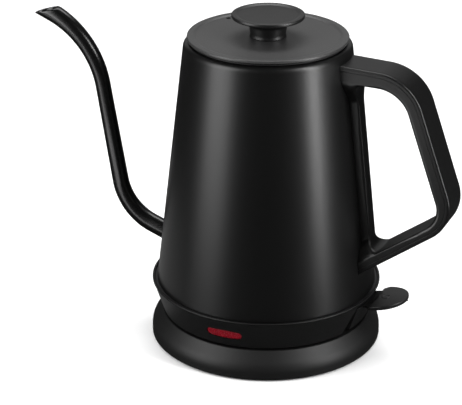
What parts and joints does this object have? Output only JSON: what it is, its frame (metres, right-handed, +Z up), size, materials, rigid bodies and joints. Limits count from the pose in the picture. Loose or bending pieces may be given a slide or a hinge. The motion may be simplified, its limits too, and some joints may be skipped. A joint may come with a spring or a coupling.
{
  "type": "electric kettle",
  "caption": "Cordless electric gooseneck kettle on its power base: tapered black vessel, slim curved spout, D-shaped handle, flat lid with disc knob, switch lever and lamp.",
  "frame": {"origin": "centre of the power base's foot ring, on the surface it stands on", "axes": "+Z up, +X towards the handle and the switch lever, spout towards -X"},
  "size_m": [0.2704, 0.14, 0.2036],
  "materials": {
    "painted_steel": "satin black powder coat on stainless sheet",
    "painted_spout": "satin black powder coat, smoother on the tube",
    "painted_lid": "satin black powder coat",
    "stainless_steel": "drawn, bare",
    "element_sheath": "dull sheath",
    "aluminium_plate": "pressed, bare",
    "bimetal": "rolled",
    "base_plastic": "fine-textured",
    "skirt_plastic": "fine-textured",
    "handle_plastic": "satin moulded",
    "handle_cover_plastic": "satin moulded",
    "knob_plastic": "satin moulded",
    "lever_plastic": "satin moulded",
    "connector_plastic": "moulded",
    "control_plastic": "natural moulded",
    "foot_rubber": "matt",
    "seal_silicone": "matt",
    "lens_red": "clear tinted",
    "lamp_glass": "clear",
    "contact_brass": "plated",
    "screw_steel": "zinc plated"
  },
  "bodies": {
    "power_base": {"base_shell": "base_plastic", "base_plate": "base_plastic", "base_foot": "foot_rubber", "base_screws": "screw_steel", "base_socket": "connector_plastic", "socket_live_contact": "contact_brass", "socket_neutral_contact": "contact_brass", "socket_earth_contact": "contact_brass", "cord_clamp": "control_plastic", "cord_clamp_screws": "screw_steel"},
    "slot_ring": {"slot_shutter": "connector_plastic"},
    "switch": {"switch_lever": "lever_plastic"},
    "contact_rod": {"push_rod": "control_plastic"},
    "lid": {"lid_cover": "painted_lid", "lid_pan": "stainless_steel", "lid_gasket": "seal_silicone", "lid_knob": "knob_plastic", "lid_screw": "screw_steel", "lid_washer": "stainless_steel"},
    "kettle": {"bottom_cover": "skirt_plastic", "bottom_screws": "screw_steel", "connector_earth_ring": "contact_brass", "connector_pin": "contact_brass", "connector_ring": "contact_brass", "control_body": "control_plastic", "dry_boil_discs": "bimetal", "element_terminals": "element_sheath", "handle_bracket_bottom": "stainless_steel", "handle_bracket_top": "stainless_steel", "handle_cover": "handle_cover_plastic", "handle_grip": "handle_plastic", "handle_screws": "screw_steel", "heater_plate": "aluminium_plate", "heating_element": "element_sheath", "lamp": "lamp_glass", "lamp_lens": "lens_red", "lever_pin": "stainless_steel", "skirt": "skirt_plastic", "skirt_seal": "seal_silicone", "spout_tube": "painted_spout", "steam_disc": "bimetal", "steam_grommet": "seal_silicone", "steam_tube": "stainless_steel", "vessel": "painted_steel", "vessel_floor": "stainless_steel"}
  },
  "joints": [
    {"name": "kettle_turn", "type": "hinge", "parent": "power_base", "child": "slot_ring", "pos_m": [0, 0, 0.0122], "axis": [0, 0, 1], "continuous": true},
    {"name": "kettle_lift", "type": "slide", "parent": "slot_ring", "child": "kettle", "axis": [0, 0, 1], "range_m": [0, 0.12]},
    {"name": "switch_press", "type": "hinge", "parent": "kettle", "child": "switch", "pos_m": [0.056, 0, 0.027], "axis": [0, 1, 0], "range_deg": [0, 8]},
    {"name": "contact_push", "type": "slide", "parent": "kettle", "child": "contact_rod", "axis": [0, 0, 1], "range_m": [0, 0.0027]},
    {"name": "lid_lift", "type": "slide", "parent": "kettle", "child": "lid", "axis": [0, 0, 1], "range_m": [0, 0.08]}
  ],
  "couplings": [
    {"joint": "contact_push", "follows": "switch_press", "m_per_rad": 0.019326}
  ]
}
